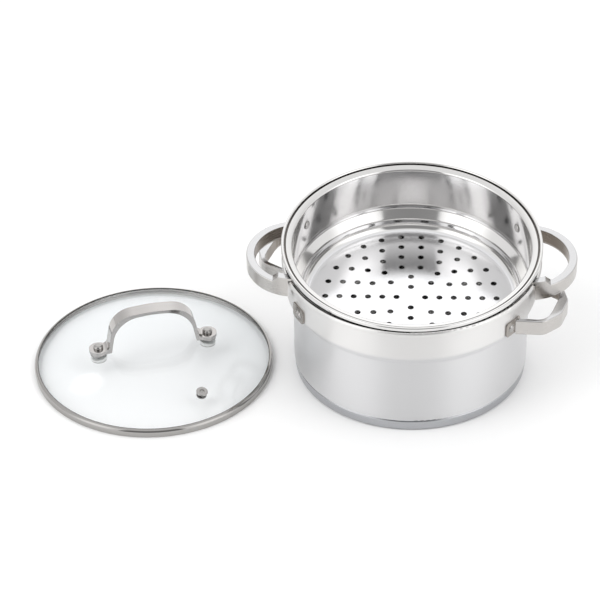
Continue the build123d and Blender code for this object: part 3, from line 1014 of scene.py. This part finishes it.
    def build(self, frame: dict) -> None:
        """Turn the shell, punch the floor and dress the insert's nodes.

        Args:
            frame: The loaded frame.
        """
        steel = InsertFinish("polished_insert_steel", self.rim_place, self.tilt_angle).build()
        finished("insert_shell", self.shell(), steel, Body.INSERT, ["insert_body"])
        finished("insert_floor", self.floor(), steel, Body.INSERT)
        plate, rivet = PLATE_STEEL.build(), FASTENER_STEEL.build()
        for side, turn in ((Side.LEFT, 180.0), (Side.RIGHT, 0.0)):
            angle = math.radians(turn + self.turn_angle)
            center = (self.loop_center_x * math.cos(angle), self.loop_center_x * math.sin(angle),
                      self.loop_center_z)
            loop = LoopFinish(f"insert_loop_steel_{side.value}", center).build()
            dress(frame, f"insert_handle_{side.value}", loop)
            dress(frame, f"insert_plates_{side.value}", plate)
            dress(frame, f"insert_rivets_{side.value}", rivet)


@dataclass
class Lid:
    """The glass lid with its rolled rim, strap handle and steam vent.

    Attributes:
        center: The middle of the lid on the floor.
        radius: Outer radius of the rim.
        rim_height: Height of the rim.
        flange: Width of the rim over the glass.
        wall: Thickness of the rim's steel.
        hem_width: Width of the rim's foot.
        hem_height: Height of the rim's foot.
        hem_rounding: Rounding of the rim's foot.
        rolled: Rounding at the rim's upper edge.
        lip_rounding: Rounding of the edge on the glass.
    """

    center: tuple[float, float, float] = (-260.8, -7.0, 0.0)
    radius: float = 121.0
    rim_height: float = 8.6
    flange: float = 4.0
    wall: float = 0.6
    hem_width: float = 2.8
    hem_height: float = 2.2
    hem_rounding: float = 0.9
    rolled: float = 3.6
    lip_rounding: float = 0.2

    def rim(self) -> BMesh:
        """Turn the rim with its rolled upper edge.

        Returns:
            The rim, in its place in metres.
        """
        wall_inner = self.radius - self.wall
        hem_inner = self.radius - self.hem_width
        lip = self.radius - self.flange
        lip_under = self.rim_height - 2 * self.wall
        lip_top = self.rim_height - self.wall / 2
        work = turned([
            Corner(lip, lip_under),
            Corner(wall_inner, lip_under, self.rolled - self.wall),
            Corner(wall_inner, self.hem_height),
            Corner(hem_inner, self.hem_height, self.hem_rounding),
            Corner(hem_inner, 0, self.hem_rounding),
            Corner(self.radius, 0, self.hem_rounding),
            Corner(self.radius, self.rim_height, self.rolled),
            Corner(lip, lip_top, self.lip_rounding),
        ], FINE_TURN_STEPS, FINE_CORNER_STEPS)
        bmesh.ops.translate(work, vec=Vector(self.center) * MM, verts=work.verts)
        return work

    def build(self, frame: dict) -> None:
        """Turn the rim and dress the lid's nodes.

        Args:
            frame: The loaded frame.
        """
        dress(frame, "lid_glass", CLEAR_GLASS.build())
        steel = RimFinish("polished_rim_steel", self.center).build()
        finished("lid_rolled_rim", self.rim(), steel, Body.LID, ["lid_rim"])
        dress(frame, "lid_handle", STRAP_STEEL.build())
        fastener = FASTENER_STEEL.build()
        for name in ("seats", "nuts", "screws", "washers"):
            dress(frame, f"lid_handle_{name}", fastener)
        dress(frame, "lid_handle_cushions", CUSHION_SILICONE.build())
        vent = VENT_STEEL.build()
        dress(frame, "vent_eyelet", vent)
        dress(frame, "vent_collar", vent)


@dataclass(frozen=True)
class Lamp:
    """A soft round lamp that points at the pot.

    Attributes:
        name: The lamp's name.
        place: Where it hangs, in metres.
        size: Its diameter, in metres.
        power: Its power, in watts.
    """

    name: str
    place: tuple[float, float, float]
    size: float
    power: float


@dataclass
class Studio:
    """A pale floor, a bright tent with one dark card behind the camera, and the camera itself.

    Attributes:
        floor_half_size: Half the floor's side, in metres.
        floor_color: Colour of the floor as sRGB hex.
        floor_roughness: Roughness of its matt paint.
        floor_gloss: Specular level of the paint.
        camera_place: The camera's place, in metres.
        camera_angle: How far the camera looks down, in degrees.
        lens: Focal length.
        sensor: Width of the sensor.
        far_clip: How far the camera sees, in metres.
        shift: Sideways shift of the lens, as a share of the frame.
        tent_stops: Angle from straight behind the camera, in half turns, and the tent's brightness there.
        overhead_start: Upward part of the direction at which the roof of the tent starts.
        overhead_full: The same where it is all roof.
        overhead_share: Brightness of the roof, as a share of the brightest side.
        soft_lamps: Lamps for the floor and the shadows, which steel and glass don't mirror.
        glass_lamp: The lamp that gives the soft spot on the lid's glass.
    """

    floor_half_size: float = 6.0
    floor_color: str = "#FAFAFA"
    floor_roughness: float = 0.6
    floor_gloss: float = 0.2
    camera_place: tuple[float, float, float] = (-0.0612, -2.1063, 1.6194)
    camera_angle: float = 36.27
    lens: float = 156.0
    sensor: float = 36.0
    far_clip: float = 50.0
    shift: float = -0.0835
    tent_stops: tuple[tuple[float, float], ...] = (
        (0.0, 0.3), (0.145, 0.32), (0.165, 1.2), (0.25, 1.7), (0.36, 1.7), (0.45, 1.0), (0.75, 0.85),
        (1.0, 1.4))
    overhead_start: float = 0.75
    overhead_full: float = 0.9
    overhead_share: float = 0.56
    soft_lamps: tuple[Lamp, ...] = (
        Lamp("soft_lamp_left", (-1.6, -0.8, 2.2), 1.6, 12.5),
        Lamp("soft_lamp_right", (1.8, -0.6, 2.2), 1.6, 9.5))
    glass_lamp: Lamp = Lamp("round_lamp", (-1.02, 1.076, 1.508), 0.3, 0.6)

    def floor(self) -> None:
        """Lay the floor."""
        work = bmesh.new()
        bmesh.ops.create_grid(work, x_segments=1, y_segments=1, size=self.floor_half_size)
        mesh = bpy.data.meshes.new("floor")
        work.to_mesh(mesh)
        work.free()
        mesh.materials.append(coat(new_material("pale_floor_paint"), {
            "Base Color": linear_rgb(self.floor_color), "Roughness": self.floor_roughness,
            "Specular IOR Level": self.floor_gloss}))
        floor = bpy.data.objects.new("floor", mesh)
        bpy.context.scene.collection.objects.link(floor)

    def tent(self) -> None:
        """Light the room by direction: dark straight behind the camera, bright beside it."""
        world = bpy.data.worlds.new("studio_tent")
        world.use_nodes = True
        tree = world.node_tree
        tree.nodes.clear()
        direction = add_node(tree, "ShaderNodeSeparateXYZ", inputs={
            0: add_node(tree, "ShaderNodeTexCoord").outputs["Generated"]})
        toward = add_node(tree, "ShaderNodeMath", {"operation": "MULTIPLY"},
                          {0: direction.outputs["Y"], 1: -1.0})
        azimuth = add_node(tree, "ShaderNodeMath", {"operation": "ARCTAN2"},
                           {0: direction.outputs["X"], 1: toward})
        turn = add_node(tree, "ShaderNodeMath", {"operation": "ABSOLUTE"}, {0: azimuth})
        share = add_node(tree, "ShaderNodeMath", {"operation": "DIVIDE"}, {0: turn, 1: math.pi})
        ramp = add_node(tree, "ShaderNodeValToRGB", inputs={0: share})
        stops = ramp.color_ramp.elements
        top_value = max(value for _, value in self.tent_stops)
        for index, (place, value) in enumerate(self.tent_stops):
            # A new ramp holds two stops.
            stop = stops[index] if index < 2 else stops.new(place)
            stop.position = place
            stop.color = (value / top_value,) * 3 + (1.0,)
        high = add_node(tree, "ShaderNodeMapRange", inputs={
            "Value": direction.outputs["Z"], "From Min": self.overhead_start, "From Max": self.overhead_full})
        mixed = add_node(tree, "ShaderNodeMix", {"data_type": "RGBA"}, {
            "Factor": high, 6: ramp, 7: (self.overhead_share,) * 3 + (1.0,)})
        light = add_node(tree, "ShaderNodeBackground", inputs={
            "Color": mixed.outputs[2], "Strength": top_value})
        add_node(tree, "ShaderNodeOutputWorld", inputs={"Surface": light})
        bpy.context.scene.world = world

    def hang(self, lamp: Lamp, mirror: bpy.types.Object | None = None) -> None:
        """Hang one lamp.

        Args:
            lamp: The lamp.
            mirror: The one piece that it lights and is mirrored in, where it is such a lamp.
        """
        data = bpy.data.lights.new(lamp.name, "AREA")
        data.shape = "DISK"
        data.size = lamp.size
        data.energy = lamp.power
        light = bpy.data.objects.new(lamp.name, data)
        light.location = lamp.place
        light.rotation_euler = (-Vector(lamp.place)).to_track_quat("-Z", "Y").to_euler()
        light.visible_glossy = mirror is not None
        if mirror:
            lit = bpy.data.collections.new(f"{lamp.name}_lights")
            lit.objects.link(mirror)
            light.light_linking.receiver_collection = lit
        bpy.context.scene.collection.objects.link(light)

    def camera(self) -> None:
        """Set the camera where the photograph was taken."""
        data = bpy.data.cameras.new("camera")
        data.lens = self.lens
        data.sensor_width = self.sensor
        data.shift_x = self.shift
        data.clip_end = self.far_clip
        camera = bpy.data.objects.new("camera", data)
        camera.location = self.camera_place
        camera.rotation_euler = Euler((math.radians(90 - self.camera_angle), 0, 0))
        bpy.context.scene.collection.objects.link(camera)
        bpy.context.scene.camera = camera

    def build(self, frame: dict) -> None:
        """Set up the whole studio.

        Args:
            frame: The loaded frame.
        """
        self.floor()
        self.tent()
        for lamp in self.soft_lamps:
            self.hang(lamp)
        self.hang(self.glass_lamp, frame["nodes"]["lid_glass"])
        self.camera()
        bpy.context.scene.view_settings.view_transform = "Standard"


def main() -> None:
    """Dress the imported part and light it."""
    logging.basicConfig(level=logging.INFO, format="%(name)s: %(message)s")
    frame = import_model()
    Studio().build(frame)
    Pot().build(frame)
    Insert().build(frame)
    Lid().build(frame)
    log.info("all pieces are dressed")


if __name__ == "__main__":
    main()
